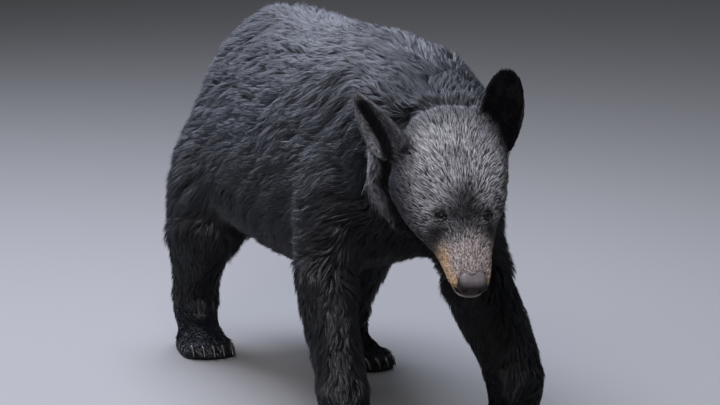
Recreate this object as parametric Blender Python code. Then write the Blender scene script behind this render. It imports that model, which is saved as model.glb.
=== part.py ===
"""A life-size American black bear, walking with its head held low, as a still display model.

The whole animal is shaped once from lofts and rounded masses, welded into one skin by a voxel
remesh, and then parted by thin cuts into the pieces that a person would name. The surface is the
outer line of the coat. Metres, +Z up. The bear faces -Y, its right side is at -X, its soles stand
on z = 0, and the origin lies on the floor under the middle of the whole bear.
"""

import math

import bmesh
import bpy
from mathutils import Matrix, Vector

# ---------------------------------------------------------------- driving dimensions

HEAD_LENGTH = 0.328
GAP = 0.0004
VOXEL = 0.0065
BODY_TRIANGLES = 3000
RIGHT, LEFT = -1, 1
SIDES = {RIGHT: "right", LEFT: "left"}

# Where the head hangs: yaw turns it to the bear's right, pitch lowers the nose.
HEAD_YAW = math.radians(8)
HEAD_PITCH = math.radians(57)
HEAD_ROLL = math.radians(-2)
OCCIPUT = Vector((-0.054, -0.700, 0.655))

# ---------------------------------------------------------------- helpers


def clear_scene():
    for old in list(bpy.data.objects):
        bpy.data.objects.remove(old)


def material(name, colour, roughness, metallic=0.0):
    made = bpy.data.materials.new(name)
    made.use_nodes = True
    shader = made.node_tree.nodes["Principled BSDF"]
    shader.inputs["Base Color"].default_value = (*colour, 1.0)
    shader.inputs["Roughness"].default_value = roughness
    shader.inputs["Metallic"].default_value = metallic
    made.diffuse_color = (*colour, 1.0)
    return made


def new_object(name, mesh, look=None):
    made = bpy.data.objects.new(name, mesh)
    bpy.context.scene.collection.objects.link(made)
    if look:
        mesh.materials.clear()
        mesh.materials.append(look)
    return made


def mesh_of(bm, name):
    mesh = bpy.data.meshes.new(name)
    bm.to_mesh(mesh)
    bm.free()
    return mesh


def evaluated_mesh(thing):
    """A plain mesh of an object with its modifiers applied; the object itself is removed."""
    bpy.context.view_layer.update()
    graph = bpy.context.evaluated_depsgraph_get()
    mesh = bpy.data.meshes.new_from_object(thing.evaluated_get(graph), depsgraph=graph)
    bpy.data.objects.remove(thing)
    return mesh


def smoothstep(value):
    value = min(max(value, 0.0), 1.0)
    return value * value * (3 - 2 * value)


def head_frame():
    """From head space to the bear: +X to its right side, +Y forward to the nose, +Z dorsal."""
    ahead = Vector((-math.sin(HEAD_YAW), -math.cos(HEAD_YAW), 0))
    forward = ahead * math.cos(HEAD_PITCH) + Vector((0, 0, -math.sin(HEAD_PITCH)))
    dorsal = ahead * math.sin(HEAD_PITCH) + Vector((0, 0, math.cos(HEAD_PITCH)))
    right = forward.cross(dorsal)
    turn = Matrix((right, forward, dorsal)).transposed().to_4x4()
    return Matrix.Translation(OCCIPUT) @ turn @ Matrix.Rotation(HEAD_ROLL, 4, "Y")


def curl(value, power):
    """A cosine or sine squared off as on a superellipse."""
    return math.copysign(abs(value) ** (2 / power), value)


def ring_points(half_width, rise, drop, top_power, low_power, count):
    """One cross-section in its own plane, as (across, up) pairs."""
    points = []
    for step in range(count):
        turn = 2 * math.pi * step / count
        upper = math.sin(turn) >= 0
        power = top_power if upper else low_power
        points.append(
            (
                half_width * curl(math.cos(turn), power),
                (rise if upper else drop) * curl(math.sin(turn), power),
            )
        )
    return points


def loft(bm, rings):
    """A closed shell through rings of points, with a fan over each end."""
    rows = [[bm.verts.new(point) for point in ring] for ring in rings]
    count = len(rows[0])
    for near, far in zip(rows, rows[1:]):
        for step in range(count):
            after = (step + 1) % count
            bm.faces.new((near[step], near[after], far[after], far[step]))
    for row, turn in ((rows[0], -1), (rows[-1], 1)):
        bm.faces.new(row[::turn])


def closed_loft(rings, name):
    """A loft as its own outward-facing mesh, split the same way at any size of its rings."""
    bm = bmesh.new()
    loft(bm, rings)
    bmesh.ops.triangulate(bm, faces=bm.faces, quad_method="FIXED", ngon_method="EAR_CLIP")
    bmesh.ops.recalc_face_normals(bm, faces=bm.faces)
    return mesh_of(bm, name)


def limb(bm, stations, count=24):
    """A loft down a leg. Each station is (centre, half width across, half depth fore and aft)."""
    rings = []
    centres = [Vector(station[0]) for station in stations]
    for index, (_, across, deep) in enumerate(stations):
        before = centres[max(index - 1, 0)]
        after = centres[min(index + 1, len(centres) - 1)]
        along = (after - before).normalized()
        side = Vector((1, 0, 0)) - along * along.x
        side.normalize()
        front = along.cross(side)
        ring = [
            centres[index] + side * x + front * y
            for x, y in ring_points(across, deep, deep, 2.2, 2.2, count)
        ]
        rings.append(ring)
    loft(bm, rings)


def mass(bm, centre, radii, tilt=(0, 0, 0), frame=None):
    """A rounded mass: an ellipsoid with its radii along its own axes, turned by tilt degrees."""
    turn = Matrix.LocRotScale(
        Vector(centre),
        (
            Matrix.Rotation(math.radians(tilt[2]), 3, "Z")
            @ Matrix.Rotation(math.radians(tilt[1]), 3, "Y")
            @ Matrix.Rotation(math.radians(tilt[0]), 3, "X")
        ).to_quaternion(),
        Vector(radii),
    )
    if frame:
        turn = frame @ turn
    bmesh.ops.create_uvsphere(bm, u_segments=24, v_segments=16, radius=1, matrix=turn)


# ---------------------------------------------------------------- the trunk and neck

# (y, height of the widest line, half width, rise to the back, drop to the belly, sideways shift,
# roundness of the back: 2 is an ellipse, less is more peaked)
TRUNK = (
    (-0.520, 0.520, 0.100, 0.120, 0.080, 0.000, 2.0),
    (-0.470, 0.515, 0.140, 0.185, 0.130, 0.000, 2.0),
    (-0.380, 0.505, 0.166, 0.238, 0.165, 0.000, 2.0),
    (-0.280, 0.500, 0.184, 0.256, 0.185, 0.000, 1.95),
    (-0.150, 0.480, 0.195, 0.268, 0.208, 0.000, 1.9),
    (0.000, 0.450, 0.204, 0.290, 0.194, 0.006, 1.85),
    (0.150, 0.420, 0.208, 0.314, 0.158, 0.014, 1.8),
    (0.280, 0.390, 0.208, 0.342, 0.120, 0.020, 1.75),
    (0.400, 0.385, 0.197, 0.337, 0.105, 0.022, 1.75),
    (0.480, 0.388, 0.178, 0.303, 0.102, 0.022, 1.8),
    (0.545, 0.400, 0.142, 0.246, 0.095, 0.022, 1.85),
    (0.592, 0.420, 0.085, 0.158, 0.070, 0.022, 1.9),
)

# (centre, half width, half height) from the chest to the back of the skull
NECK = (
    ((0.000, -0.330, 0.540), 0.160, 0.200),
    ((-0.006, -0.430, 0.560), 0.154, 0.180),
    ((-0.020, -0.520, 0.575), 0.148, 0.156),
    ((-0.034, -0.600, 0.588), 0.137, 0.132),
    ((-0.046, -0.665, 0.598), 0.122, 0.110),
    ((-0.056, -0.725, 0.600), 0.102, 0.096),
)


def shape_trunk(bm):
    rings = []
    for y, height, half_width, rise, drop, shift, roundness in TRUNK:
        section = ring_points(half_width, rise, drop, roundness, 2.6, 36)
        rings.append([Vector((shift + x, y, height + z)) for x, z in section])
    loft(bm, rings)


def shape_neck(bm):
    rings = []
    centres = [Vector(station[0]) for station in NECK]
    for index, (_, half_width, half_height) in enumerate(NECK):
        before = centres[max(index - 1, 0)]
        after = centres[min(index + 1, len(centres) - 1)]
        along = (after - before).normalized()
        side = Vector((1, 0, 0)) - along * along.x
        side.normalize()
        up = side.cross(along)
        section = ring_points(half_width, half_height, half_height, 2.2, 2.2, 36)
        rings.append([centres[index] + side * x + up * z for x, z in section])
    loft(bm, rings)


def shape_muscles(bm):
    mass(bm, (0.0, -0.430, 0.480), (0.120, 0.100, 0.110))  # breast
    for side in SIDES:
        mass(bm, (side * 0.066, -0.330, 0.590), (0.086, 0.130, 0.140), (20, side * 12, 0))
        mass(bm, (side * 0.112, -0.345, 0.470), (0.085, 0.120, 0.120))
        mass(bm, (0.018 + side * 0.098, 0.410, 0.390), (0.104, 0.160, 0.165))


# ---------------------------------------------------------------- legs

# Each leg's stations run from the body to the wrist or the hock:
# (centre, half width across, half depth fore and aft)
FORELEGS = {
    RIGHT: (
        ((-0.075, -0.320, 0.560), 0.070, 0.080),
        ((-0.125, -0.345, 0.460), 0.078, 0.110),
        ((-0.133, -0.330, 0.370), 0.070, 0.095),
        ((-0.138, -0.325, 0.300), 0.061, 0.081),
        ((-0.136, -0.335, 0.230), 0.055, 0.068),
        ((-0.126, -0.350, 0.160), 0.051, 0.058),
        ((-0.119, -0.362, 0.100), 0.050, 0.053),
        ((-0.117, -0.370, 0.050), 0.050, 0.050),
    ),
    LEFT: (
        ((0.075, -0.320, 0.560), 0.070, 0.080),
        ((0.125, -0.345, 0.460), 0.078, 0.110),
        ((0.134, -0.335, 0.370), 0.074, 0.098),
        ((0.150, -0.340, 0.290), 0.069, 0.084),
        ((0.178, -0.350, 0.215), 0.068, 0.074),
        ((0.208, -0.360, 0.150), 0.063, 0.064),
        ((0.222, -0.366, 0.100), 0.057, 0.058),
        ((0.223, -0.370, 0.050), 0.053, 0.052),
    ),
}
# (wrist on the floor, way the toes point in degrees turned inwards)
FORE_PAWS = {
    RIGHT: ((-0.117, -0.376), 12),
    LEFT: ((0.222, -0.374), 45),
}
HINDLEGS = {
    RIGHT: (
        ((-0.060, 0.410, 0.470), 0.075, 0.130),
        ((-0.108, 0.400, 0.400), 0.090, 0.146),
        ((-0.132, 0.405, 0.330), 0.085, 0.122),
        ((-0.140, 0.430, 0.250), 0.072, 0.092),
        ((-0.132, 0.475, 0.180), 0.056, 0.068),
        ((-0.125, 0.510, 0.110), 0.048, 0.054),
        ((-0.122, 0.515, 0.050), 0.046, 0.050),
    ),
    LEFT: (
        ((0.080, 0.370, 0.470), 0.075, 0.130),
        ((0.130, 0.310, 0.400), 0.088, 0.142),
        ((0.145, 0.250, 0.330), 0.082, 0.114),
        ((0.145, 0.230, 0.250), 0.070, 0.086),
        ((0.136, 0.260, 0.180), 0.056, 0.064),
        ((0.128, 0.296, 0.110), 0.048, 0.052),
        ((0.124, 0.302, 0.050), 0.046, 0.050),
    ),
}
HIND_FEET = {
    RIGHT: ((-0.120, 0.515), -6),
    LEFT: ((0.124, 0.302), -4),
}
SOLE_SINK = 0.012


def foot_frame(place, toe_in, side):
    """A foot's own frame on the floor: +Y to its toes, +X to its own right."""
    turn = math.pi - side * math.radians(toe_in)
    return Matrix.Translation((*place, 0)) @ Matrix.Rotation(turn, 4, "Z")


def toe_places(spread, reach, arch):
    """(across, forward) of the five toes' middles, in an arc."""
    return [
        (spread * step, reach - arch * (step * step))
        for step in (-1.0, -0.5, 0.0, 0.5, 1.0)
    ]


def shape_foot(bm, frame, half_width, length, height, toes):
    """A plantigrade foot: sole and instep as one loft from heel to toes, and five toes."""
    rings = []
    heel = -0.045
    for share, wide, tall in (
        (0.00, 0.45, 0.60),
        (0.10, 0.72, 0.95),
        (0.30, 0.86, 1.05),
        (0.55, 0.98, 0.92),
        (0.78, 1.00, 0.74),
        (0.94, 0.86, 0.55),
    ):
        section = ring_points(half_width * wide, height * tall, SOLE_SINK + 0.01, 2.2, 3.5, 24)
        y = heel + length * share
        rings.append([frame @ Vector((x, y, z)) for x, z in section])
    loft(bm, rings)
    for x, y in toes:
        mass(bm, (x, y, 0.020), (0.0145, 0.026, 0.023), (-10, 0, 0), frame)


FORE_TOES = toe_places(0.046, 0.098, 0.018)
HIND_TOES = toe_places(0.040, 0.136, 0.016)


def shape_legs(bm):
    for side in SIDES:
        limb(bm, FORELEGS[side])
        limb(bm, HINDLEGS[side])
        frame = foot_frame(*FORE_PAWS[side], side)
        shape_foot(bm, frame, 0.060, 0.145, 0.066, FORE_TOES)
        frame = foot_frame(*HIND_FEET[side], side)
        shape_foot(bm, frame, 0.053, 0.182, 0.070, HIND_TOES)
        elbow = Vector(FORELEGS[side][2][0])
        mass(bm, elbow + Vector((0, 0.070, 0.010)), (0.045, 0.050, 0.060))


# ---------------------------------------------------------------- head

# Head space: (distance back from the nose tip, half width, rise, drop, upper roundness)
HEAD = (
    (-0.008, 0.024, 0.014, 0.016, 2.6),
    (0.008, 0.033, 0.025, 0.032, 2.7),
    (0.040, 0.040, 0.033, 0.044, 2.4),
    (0.074, 0.048, 0.043, 0.052, 2.0),
    (0.100, 0.062, 0.054, 0.060, 1.8),
    (0.125, 0.077, 0.066, 0.068, 1.7),
    (0.150, 0.090, 0.075, 0.080, 1.8),
    (0.180, 0.099, 0.086, 0.090, 1.9),
    (0.215, 0.105, 0.093, 0.096, 2.0),
    (0.250, 0.106, 0.092, 0.096, 2.0),
    (0.290, 0.102, 0.084, 0.092, 2.0),
    (0.330, 0.094, 0.070, 0.086, 2.0),
    (0.360, 0.080, 0.055, 0.076, 2.0),
)


MUZZLE_DRIFT = 0.0107  # the muzzle points a little to the bear's left of its skull


def drift(forward):
    """How far the middle of the muzzle lies off the middle of the skull, across the head."""
    return -MUZZLE_DRIFT * smoothstep((forward - 0.190) / 0.090)


def shape_head(bm, frame):
    rings = []
    for back, half_width, rise, drop, roundness in HEAD:
        section = ring_points(half_width, rise, drop, roundness, 2.5, 40)
        forward = HEAD_LENGTH - back
        rings.append([frame @ Vector((x + drift(forward), forward, z)) for x, z in section])
    loft(bm, rings)
    mass(bm, (0.0, 0.115, 0.040), (0.088, 0.095, 0.052), (0, 0, 0), frame)  # forehead
    for side in SIDES:
        mass(bm, (side * 0.052, 0.105, -0.026), (0.055, 0.085, 0.066), (0, 0, 0), frame)  # cheek


# In head space: (root, way the ear grows, way its cup opens), then its length, its
# half width, how far up it is widest, and how straight it narrows from there. The
# right ear is turned out and half folded, so it narrows like a wedge.
EARS = {
    RIGHT: (
        ((0.116, 0.068, 0.030), (0.52, -0.66, 0.52), (0.85, 0.25, 0.46)),
        (0.118, 0.044, 0.15, 0.85),
    ),
    LEFT: (
        ((-0.082, 0.062, 0.040), (-0.07, -0.75, 0.66), (0.10, 0.45, 0.88)),
        (0.126, 0.040, 0.45, 0.50),
    ),
}


def shape_ear(frame, side, extra):
    """A cupped ear: crescents that widen from the root and close in a round tip."""
    (root, growth, opening), (length, half_width, widest, straight) = EARS[side]
    along = Vector(growth).normalized()
    face = Vector(opening)
    face = (face - along * face.dot(along)).normalized()
    across = along.cross(face)
    rings = []
    for step in range(10):
        share = step / 9
        if share < widest:
            wide = 0.60 + 0.40 * math.sin(share / widest * math.pi / 2)
        else:
            wide = max(1 - ((share - widest) / (1.01 - widest)) ** 2, 0.0) ** straight
        half = half_width * wide + extra
        back = 0.034 * (1 - 0.62 * share) * wide**0.5 + extra
        hollow = 0.018 * (1 - 0.62 * share) * smoothstep(share / 0.3)
        rim = 0.006 * wide + extra
        reach = length * (share * 1.20 - 0.20) + extra * (2 * share - 1)
        turns = [math.pi * turn / 8 for turn in range(9)]
        ring = [(half * math.cos(turn), -back * math.sin(turn)) for turn in turns]
        ring += [
            (half * 0.96 * math.cos(turn), rim - hollow * math.sin(turn))
            for turn in reversed(turns[1:-1])
        ]
        centre = Vector(root) + along * reach
        rings.append([frame @ (centre + across * x + face * z) for x, z in ring])
    return closed_loft(rings, "ear")


def shape_tail(bm):
    stations = (
        ((0.020, 0.560, 0.610), 0.024, 0.024),
        ((0.020, 0.597, 0.575), 0.031, 0.028),
        ((0.020, 0.622, 0.525), 0.032, 0.027),
        ((0.020, 0.630, 0.475), 0.027, 0.022),
        ((0.020, 0.630, 0.440), 0.014, 0.012),
    )
    limb(bm, stations, 16)


def weld(bm):
    """The overlapping forms as one smooth closed skin, with the soles trimmed flat."""
    form = new_object("form", mesh_of(bm, "form"))
    remesh = form.modifiers.new("weld", "REMESH")
    remesh.mode = "VOXEL"
    remesh.voxel_size = VOXEL
    form = new_object("form", evaluated_mesh(form))
    head = head_frame().inverted()
    soft = form.vertex_groups.new(name="soft")
    for vertex in form.data.vertices:
        forward = (head @ vertex.co).y
        on_head = max(forward, (head @ vertex.co).z)
        firm = smoothstep((on_head - 0.02) / 0.08) if vertex.co.y < -0.66 else 0.0
        firm = max(firm, smoothstep((0.30 - vertex.co.z) / 0.22))
        soft.add([vertex.index], 1 - 0.82 * firm, "REPLACE")
    smooth = form.modifiers.new("soften", "SMOOTH")
    smooth.factor = 0.6
    smooth.iterations = 40
    smooth.vertex_group = "soft"
    form = new_object("form", evaluated_mesh(form))
    return form


def thin_out(form):
    """Fewer triangles, kept where the surface bends most, and flat soles on the floor."""
    triangles = sum(len(face.vertices) - 2 for face in form.data.polygons)
    thin = form.modifiers.new("thin", "DECIMATE")
    thin.ratio = BODY_TRIANGLES / triangles
    form = new_object("form", evaluated_mesh(form))
    below = bmesh.new()
    bmesh.ops.create_cube(below, size=2, matrix=Matrix.Translation((0, 0, -1)))
    return cut_away(form, [mesh_of(below, "below")])


# ---------------------------------------------------------------- parting the whole into pieces


def cut_away(thing, cutter_meshes):
    """The object less each cutter in turn, as a plain mesh."""
    name = thing.name
    cutters = []
    for index, mesh in enumerate(cutter_meshes):
        cutter = new_object(f"cutter_{index}", mesh)
        cutter.hide_render = True
        cutter.display_type = "WIRE"
        cutters.append(cutter)
        cut = thing.modifiers.new(f"cut_{index}", "BOOLEAN")
        cut.operation = "DIFFERENCE"
        cut.solver = "EXACT"
        cut.object = cutter
    made = evaluated_mesh(thing)
    for cutter in cutters:
        bpy.data.objects.remove(cutter)
    return new_object(name, made)


def plate(centre, facing, width, height, frame=None):
    """A thin slab, GAP thick: `facing` is the way it parts the form, width runs across."""
    normal = Vector(facing).normalized()
    across = Vector((1, 0, 0)) - normal * normal.x
    if across.length < 0.2:
        across = Vector((0, 1, 0)) - normal * normal.y
    across.normalize()
    turn = Matrix((across, normal.cross(across), normal)).transposed().to_4x4()
    place = Matrix.Translation(Vector(centre)) @ turn
    if frame:
        place = frame @ place
    bm = bmesh.new()
    bmesh.ops.create_cube(bm, size=1)
    bm.transform(place @ Matrix.Diagonal((width, height, GAP, 1)))
    return mesh_of(bm, "plate")


MUZZLE_BACK = 0.222
JAW_BACK = 0.150
MOUTH = -0.022


def cutting_plates(frame):
    plates = [
        plate((0, 0.070, -0.060), (0, 0.89, 0.45), 0.36, 0.44, frame),  # head off neck
        # the mouth, the back of the jaw, and the muzzle off the brow
        plate((0, JAW_BACK + 0.125, MOUTH), (0, 0, 1), 0.30, 0.25, frame),
        plate((0, JAW_BACK, MOUTH - 0.10 + GAP / 2), (0, 1, 0), 0.30, 0.20, frame),
        plate((0, MUZZLE_BACK, MOUTH + 0.10 - GAP / 2), (0, 1, 0), 0.24, 0.20, frame),
        plate((0, -0.480, 0.60), (0, 1, 0.10), 0.60, 0.60),  # neck off chest
        plate((0, -0.090, 0.50), (0, 1, 0), 0.60, 0.60),  # chest off loin
        plate((0, 0.160, 0.52), (0, 1, -0.10), 0.60, 0.56),  # loin off rump
        plate((0.02, 0.606, 0.520), (0, 1, 0.04), 0.14, 0.28),  # tail off rump
    ]
    for side in SIDES:
        x, y, z = FORELEGS[side][3][0]
        plates.append(plate((x, y, z + 0.008), (-0.45 * side, 0, 1), 0.20, 0.28))
        x, y, z = FORELEGS[side][6][0]
        plates.append(plate((x, y, z + 0.006), (0, 0, 1), 0.18, 0.20))
        x, y, z = HINDLEGS[side][3][0]
        plates.append(plate((x, y, z - 0.012), (-0.40 * side, 0.25, 1), 0.22, 0.30))
        x, y, z = HINDLEGS[side][5][0]
        plates.append(plate((x, y, z), (0, -0.25, 1), 0.16, 0.17))
    return plates


def loose_parts(thing):
    """Each separate shell of a mesh as its own mesh."""
    bm = bmesh.new()
    bm.from_mesh(thing.data)
    left = set(bm.verts)
    groups = []
    while left:
        group = {left.pop()}
        edge = list(group)
        while edge:
            for link in edge.pop().link_edges:
                for end in link.verts:
                    if end in left:
                        left.discard(end)
                        group.add(end)
                        edge.append(end)
        groups.append(group)
    meshes = []
    for group in groups:
        piece = bmesh.new()
        copies = {vertex: piece.verts.new(vertex.co) for vertex in group}
        for face in {face for vertex in group for face in vertex.link_faces}:
            piece.faces.new([copies[vertex] for vertex in face.verts])
        piece.normal_update()
        meshes.append(mesh_of(piece, "piece"))
    bm.free()
    bpy.data.objects.remove(thing)
    return meshes


def anchors(frame):
    """A point near the middle of each piece of the body, by its name."""
    found = {
        "head": frame @ Vector((0, 0.120, 0.010)),
        "muzzle": frame @ Vector((0, 0.275, 0.005)),
        "lower_jaw": frame @ Vector((0, 0.235, -0.045)),
        "neck": Vector((-0.03, -0.580, 0.590)),
        "chest": Vector((0, -0.280, 0.520)),
        "loin": Vector((0, 0.030, 0.500)),
        "rump": Vector((0.02, 0.370, 0.500)),
        "tail": Vector((0.02, 0.632, 0.510)),
    }
    for side, name in SIDES.items():
        found[f"foreleg_{name}"] = Vector(FORELEGS[side][4][0])
        found[f"forepaw_{name}"] = foot_frame(*FORE_PAWS[side], side) @ Vector((0, 0.04, 0.05))
        found[f"hindleg_{name}"] = Vector(HINDLEGS[side][4][0])
        found[f"hindfoot_{name}"] = foot_frame(*HIND_FEET[side], side) @ Vector((0, 0.05, 0.05))
    return found


def middle(mesh):
    corners = [vertex.co for vertex in mesh.vertices]
    low = Vector([min(corner[axis] for corner in corners) for axis in range(3)])
    high = Vector([max(corner[axis] for corner in corners) for axis in range(3)])
    return (low + high) / 2


def name_pieces(meshes, frame, look):
    """Pairs each shell with its nearest anchor, nearest pair first."""
    places = anchors(frame)
    pairs = sorted(
        ((middle(mesh) - place).length, index, name)
        for index, mesh in enumerate(meshes)
        for name, place in places.items()
    )
    taken, nodes = set(), {}
    for _, index, name in pairs:
        if index in taken or name in nodes:
            continue
        taken.add(index)
        nodes[name] = new_object(name, meshes[index], look)
    return nodes


# ---------------------------------------------------------------- eyes, nose, claws

EYE_RADIUS = 0.0115
EYE_PROUD = 0.0034
EYES = (0.042, 0.207, 0.048)


def ball(radii, matrix, extra, segments=14, rings=8):
    bm = bmesh.new()
    grown = Matrix.Diagonal((*[radius + extra for radius in radii], 1))
    bmesh.ops.create_uvsphere(
        bm, u_segments=segments, v_segments=rings, radius=1, matrix=matrix @ grown
    )
    return mesh_of(bm, "ball")


def seat(nodes, hosts, name, make, look):
    """Adds a piece made by make(extra) to its hosts, in a socket that clears it by GAP."""
    for host in hosts:
        nodes[host] = cut_away(nodes[host], [make(GAP)])
    nodes[name] = new_object(name, make(0.0), look)


def eye_place(side, head_surface, frame):
    """The eye's centre, found where the brow's surface is met from outside."""
    outward = frame.to_3x3() @ Vector((-side * 0.62, 0.42, 0.66)).normalized()
    start = frame @ Vector((-side * EYES[0], EYES[1], EYES[2])) + outward * 0.10
    hit, point, _, _ = head_surface.ray_cast(start, -outward)
    if not hit:
        raise ValueError("the eye's line of sight misses the head")
    return Matrix.Translation(point - outward * (EYE_RADIUS - EYE_PROUD))


def claw(frame, place, length, extra):
    """A curved, tapering claw from inside the toe to just above the floor."""
    x, y = place
    rings = []
    for step in range(4):
        share = step / 3
        bend = math.radians(-8 + 62 * share)
        reach = length * (share - 0.10 * share * share)
        centre = Vector((x, y + reach, 0.026 + 0.004 * math.sin(share * 2.4) - 0.019 * share**2))
        forward = Vector((0, math.cos(bend), -math.sin(bend)))
        up = Vector((0, math.sin(bend), math.cos(bend)))
        thick = 0.0056 * (1 - share) ** 0.8 + 0.0009 + extra
        slim = 0.0040 * (1 - share) ** 0.8 + 0.0008 + extra
        shift = forward * (extra * (2 * share - 1))
        rings.append(
            [
                frame @ (centre + shift + Vector((a, 0, 0)) + up * b)
                for a, b in ring_points(slim, thick, thick, 2, 2, 6)
            ]
        )
    return closed_loft(rings, "claw")


def add_claws(nodes, frame, host, toes, length, back, look):
    """Five claws, numbered from the inner toe outwards in the foot's own left to right."""
    for number, (x, y) in enumerate(toes, 1):
        seat(
            nodes,
            [host],
            f"claw_{host}_{number}",
            lambda extra, spot=(x, y + back): claw(frame, spot, length, extra),
            look,
        )


def settle(nodes):
    """Puts the origin on the floor under the middle of the bear, and each node's at its own middle."""
    corners = [vertex.co for node in nodes.values() for vertex in node.data.vertices]
    shift = Vector([(min(c[axis] for c in corners) + max(c[axis] for c in corners)) / 2 for axis in (0, 1)])
    for name, node in nodes.items():
        centre = middle(node.data)
        node.data.transform(Matrix.Translation(-centre))
        node.location = centre - shift.to_3d()
        node.name = name
        node.data.shade_smooth()
        node.data.set_sharp_from_angle(angle=math.radians(50))


def build():
    clear_scene()
    fur = material("black_fur", (0.012, 0.012, 0.014), 0.55)
    bm = bmesh.new()
    frame = head_frame()
    shape_trunk(bm)
    shape_neck(bm)
    shape_muscles(bm)
    shape_legs(bm)
    shape_head(bm, frame)
    shape_tail(bm)
    form = thin_out(weld(bm))
    eyes = {side: eye_place(side, form, frame) for side in SIDES}
    form = cut_away(form, cutting_plates(frame))
    nodes = name_pieces(loose_parts(form), frame, fur)

    glass = material("dark_glass_eye", (0.020, 0.010, 0.006), 0.05)
    leather = material("nose_leather", (0.010, 0.009, 0.009), 0.35)
    horn = material("claw_horn", (0.022, 0.019, 0.017), 0.35)
    for side, name in SIDES.items():
        radii = (EYE_RADIUS, EYE_RADIUS, EYE_RADIUS)
        seat(
            nodes,
            ["head"],
            f"eye_{name}",
            lambda extra, place=eyes[side]: ball(radii, place, extra),
            glass,
        )
        seat(
            nodes,
            ["head", "neck"],
            f"ear_{name}",
            lambda extra, side=side: shape_ear(frame, side, extra),
            fur,
        )
    tip = frame @ Matrix.Translation((drift(HEAD_LENGTH), HEAD_LENGTH - 0.004, 0.004))
    seat(nodes, ["muzzle"], "nose", lambda extra: ball((0.026, 0.014, 0.017), tip, extra), leather)
    for side, name in SIDES.items():
        paw = foot_frame(*FORE_PAWS[side], side)
        add_claws(nodes, paw, f"forepaw_{name}", FORE_TOES, 0.040, 0.012, horn)
        foot = foot_frame(*HIND_FEET[side], side)
        add_claws(nodes, foot, f"hindfoot_{name}", HIND_TOES, 0.030, 0.014, horn)
    settle(nodes)


build()
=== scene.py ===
import math

import bmesh
import bpy
import numpy as np
from mathutils import Matrix, Vector
from mathutils.bvhtree import BVHTree
from mathutils.kdtree import KDTree


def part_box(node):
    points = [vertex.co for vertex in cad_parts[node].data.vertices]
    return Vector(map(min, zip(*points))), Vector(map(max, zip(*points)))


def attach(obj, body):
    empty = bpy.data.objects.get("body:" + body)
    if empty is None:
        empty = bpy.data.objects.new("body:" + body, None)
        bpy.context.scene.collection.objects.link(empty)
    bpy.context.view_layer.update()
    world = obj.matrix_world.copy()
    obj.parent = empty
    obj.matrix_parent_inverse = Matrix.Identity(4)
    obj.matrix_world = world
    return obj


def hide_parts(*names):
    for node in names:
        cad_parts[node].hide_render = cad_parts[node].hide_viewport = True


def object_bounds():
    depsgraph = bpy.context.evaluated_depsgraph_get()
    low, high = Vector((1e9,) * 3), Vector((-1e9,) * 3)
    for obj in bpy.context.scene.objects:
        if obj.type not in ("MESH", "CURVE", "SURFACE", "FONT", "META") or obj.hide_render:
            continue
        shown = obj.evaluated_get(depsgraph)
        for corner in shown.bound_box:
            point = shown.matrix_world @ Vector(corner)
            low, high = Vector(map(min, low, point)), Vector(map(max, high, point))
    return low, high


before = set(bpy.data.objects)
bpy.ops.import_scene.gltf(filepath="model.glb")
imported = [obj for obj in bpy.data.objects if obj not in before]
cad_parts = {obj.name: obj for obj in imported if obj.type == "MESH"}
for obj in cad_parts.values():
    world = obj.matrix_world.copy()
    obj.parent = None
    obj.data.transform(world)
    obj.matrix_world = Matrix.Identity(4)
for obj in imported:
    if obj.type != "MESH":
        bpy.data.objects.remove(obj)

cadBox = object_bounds()
dice = np.random.default_rng(11)
print("frame loaded:", len(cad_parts), "nodes")

# which way the head hangs, and where the nose sits ahead of the back of the skull
headSet = {"yaw": 8, "pitch": 57, "roll": -2, "nose": (-0.0107, 0.324, 0.004)}


def headPlace():
    # head space: +X to the bear's right, +Y forward to the nose, +Z out of the forehead
    yaw, pitch = math.radians(headSet["yaw"]), math.radians(headSet["pitch"])
    ahead = Vector((-math.sin(yaw), -math.cos(yaw), 0))
    forward = ahead * math.cos(pitch) + Vector((0, 0, -math.sin(pitch)))
    dorsal = ahead * math.sin(pitch) + Vector((0, 0, math.cos(pitch)))
    turn = Matrix((forward.cross(dorsal), forward, dorsal)).transposed()
    turn = turn @ Matrix.Rotation(math.radians(headSet["roll"]), 3, "Y")
    low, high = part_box("nose")
    place = turn.to_4x4()
    place.translation = (low + high) / 2 - turn @ Vector(headSet["nose"])
    return place


headMatrix = headPlace()
headTurn = np.array(headMatrix.to_3x3())
headStart = np.array(headMatrix.translation)


def toHead(points):
    return (points - headStart) @ headTurn


def fromHead(points):
    return points @ headTurn.T + headStart


def drift(forward):
    # the muzzle points a little to the bear's left of the skull
    return headSet["nose"][0] * smooth(0.190, 0.280, forward)


eyeNames = {"eye_right": "rightEye", "eye_left": "leftEye"}  # each node and its piece here
eyeCentres = {name: (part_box(name)[0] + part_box(name)[1]) / 2 for name in eyeNames}
eyeRadius = (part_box("eye_left")[1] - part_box("eye_left")[0]).x / 2


def eyeSide(name):
    return 1 if name == "eye_right" else -1  # head space has +X on the bear's right


def eyeFrame(name, way):
    # at the eye's centre, +Z out of the head along `way` and +X towards the inner corner
    side = eyeSide(name)
    out = (headMatrix.to_3x3() @ Vector((way[0] * side, way[1], way[2]))).normalized()
    inner = headMatrix.to_3x3() @ Vector((-0.96 * side, 0.25, 0.10))
    inner = (inner - out * inner.dot(out)).normalized()
    place = Matrix((inner, out.cross(inner), out)).transposed().to_4x4()
    place.translation = eyeCentres[name]
    return place


def readArray(items, key, width, kind=np.float32):
    found = np.empty(len(items) * width, kind)
    items.foreach_get(key, found)
    return found.reshape(-1, width)


def pointsOf(mesh):
    return readArray(mesh.vertices, "co", 3).astype(float)


def normalsOf(mesh):
    return readArray(mesh.vertex_normals, "vector", 3).astype(float)


def edgesOf(mesh):
    return readArray(mesh.edges, "vertices", 2, np.int32)


def setPoints(mesh, points):
    mesh.vertices.foreach_set("co", points.astype(np.float32).ravel())
    mesh.update()


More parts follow.
